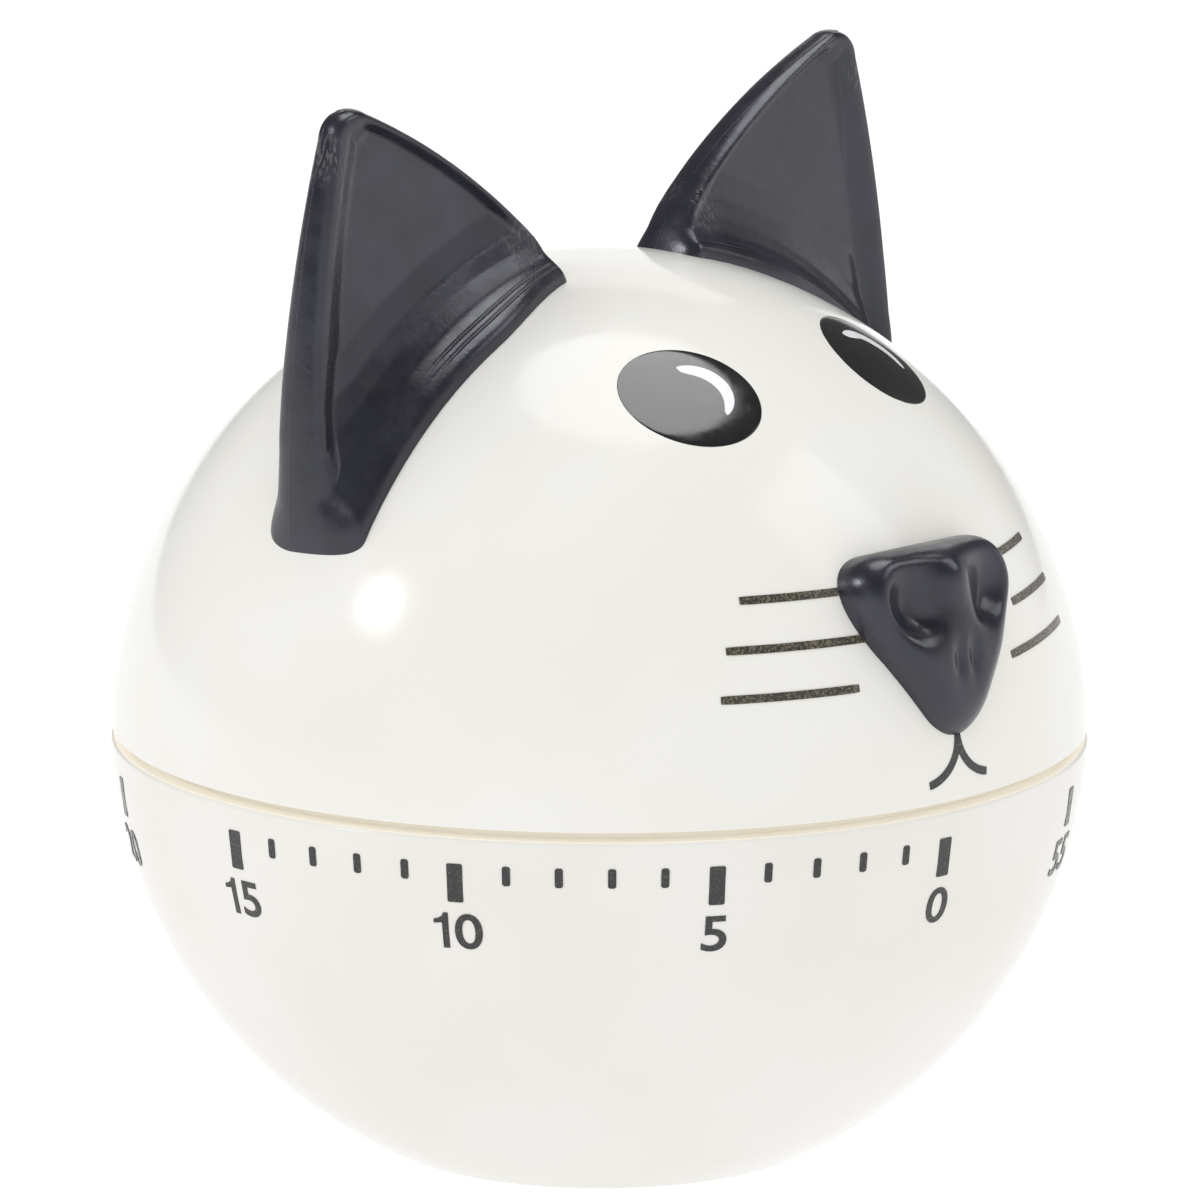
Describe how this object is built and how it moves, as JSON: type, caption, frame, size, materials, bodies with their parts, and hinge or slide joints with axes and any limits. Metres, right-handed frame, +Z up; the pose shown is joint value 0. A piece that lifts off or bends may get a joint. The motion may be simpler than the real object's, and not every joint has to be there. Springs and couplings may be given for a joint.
{
  "type": "kitchen timer",
  "caption": "Round clockwork kitchen timer with two upright ears, a turning dome head over a fixed base cup, minute scale, wheel train, mainspring and bell inside.",
  "frame": {"origin": "centre of the flat underside", "axes": "+Z up the turning axis, the face looks towards -Y, +X to the right seen along +Y"},
  "size_m": [0.0622, 0.063, 0.0691],
  "materials": {
    "cream_plastic": "glossy moulded ABS, creamy white",
    "black_plastic": "satin to glossy moulded ABS, charcoal black",
    "plate_steel": "zinc-plated sheet steel",
    "arbor_steel": "turned steel",
    "spring_steel": "blued spring steel",
    "brass": "stamped brass",
    "zinc_plate": "bright zinc plating",
    "bell_steel": "nickel-plated steel"
  },
  "bodies": {
    "base": {"base_shell": "cream_plastic", "lower_plate": "plate_steel", "upper_plate": "plate_steel", "pillar_1": "plate_steel", "pillar_2": "plate_steel", "pillar_3": "plate_steel", "pillar_nuts": "plate_steel", "base_screws": "zinc_plate", "lower_bush": "brass", "centre_bush": "brass", "spring_post": "plate_steel", "mainspring": "spring_steel", "trip_post": "plate_steel", "stop_pin": "plate_steel", "bell_post": "zinc_plate", "bell": "bell_steel", "bell_nut": "zinc_plate"},
    "head": {"head_shell": "cream_plastic", "right_ear": "black_plastic", "left_ear": "black_plastic", "nose": "black_plastic", "main_arbor": "arbor_steel", "ratchet_wheel": "arbor_steel", "cam_disc": "brass"},
    "great_wheel": {"great_wheel": "brass", "click_post": "plate_steel", "click_spring": "spring_steel"},
    "click": {"click": "arbor_steel"},
    "second_wheel": {"second_arbor": "arbor_steel", "second_wheel": "brass"},
    "third_wheel": {"third_arbor": "arbor_steel", "third_wheel": "brass"},
    "escape_wheel": {"escape_arbor": "arbor_steel", "escape_wheel": "brass"},
    "balance": {"balance_arbor": "arbor_steel", "pallet_anchor": "plate_steel", "balance_bar": "brass"},
    "strike_wheel": {"strike_arbor": "arbor_steel", "strike_wheel": "brass"},
    "hammer": {"hammer_arbor": "arbor_steel", "hammer_tail": "plate_steel", "hammer_arm": "plate_steel", "hammer_head": "brass"},
    "trip_lever": {"trip_lever": "plate_steel"}
  },
  "joints": [
    {"name": "dial_turn", "type": "hinge", "parent": "base", "child": "head", "pos_m": [0, 0, 0.0271], "axis": [0, 0, -1], "range_deg": [0, 354], "stiffness_Nm_per_rad": 0.008, "springref_deg": -85.94, "deforming": ["mainspring"]},
    {"name": "great_wheel_turn", "type": "hinge", "parent": "base", "child": "great_wheel", "pos_m": [0, 0, 0.0181], "axis": [0, 0, -1], "range_deg": [-6, 360]},
    {"name": "click_lift", "type": "hinge", "parent": "great_wheel", "child": "click", "pos_m": [0.00347, 0.00653, 0.0192], "axis": [0, 0, 1], "range_deg": [0, 12], "stiffness_Nm_per_rad": 0.00001, "springref_deg": -11.46, "deforming": ["click_spring"]},
    {"name": "second_wheel_turn", "type": "hinge", "parent": "base", "child": "second_wheel", "pos_m": [-0.01342, -0.00488, 0.0213], "axis": [0, 0, -1], "range_deg": [-2685, 30]},
    {"name": "third_wheel_turn", "type": "hinge", "parent": "base", "child": "third_wheel", "pos_m": [-0.00791, -0.01275, 0.0237], "axis": [0, 0, -1], "range_deg": [-60, 18645]},
    {"name": "escape_wheel_turn", "type": "hinge", "parent": "base", "child": "escape_wheel", "pos_m": [-0.00112, -0.01446, 0.0195], "axis": [0, 0, -1], "range_deg": [-111600, 90]},
    {"name": "balance_rock", "type": "hinge", "parent": "base", "child": "balance", "pos_m": [0.0066, -0.01235, 0.0229], "axis": [0, 0, 1], "range_deg": [-6, 6]},
    {"name": "strike_wheel_turn", "type": "hinge", "parent": "base", "child": "strike_wheel", "pos_m": [0.0067, 0.01261, 0.0223], "axis": [0, 0, -1], "range_deg": [-2685, 30]},
    {"name": "hammer_swing", "type": "hinge", "parent": "base", "child": "hammer", "pos_m": [0, 0.0144, 0.0305], "axis": [0, 0, 1], "range_deg": [-7, 10]},
    {"name": "trip_lift", "type": "hinge", "parent": "base", "child": "trip_lever", "pos_m": [-0.00948, 0.00948, 0.0248], "axis": [0, 0, 1], "range_deg": [0, 10]}
  ],
  "couplings": [
    {"joint": "great_wheel_turn", "follows": "dial_turn", "ratio": 1},
    {"joint": "second_wheel_turn", "follows": "dial_turn", "ratio": -7.5},
    {"joint": "third_wheel_turn", "follows": "dial_turn", "ratio": 52.5},
    {"joint": "escape_wheel_turn", "follows": "dial_turn", "ratio": -315},
    {"joint": "strike_wheel_turn", "follows": "dial_turn", "ratio": -7.5}
  ]
}
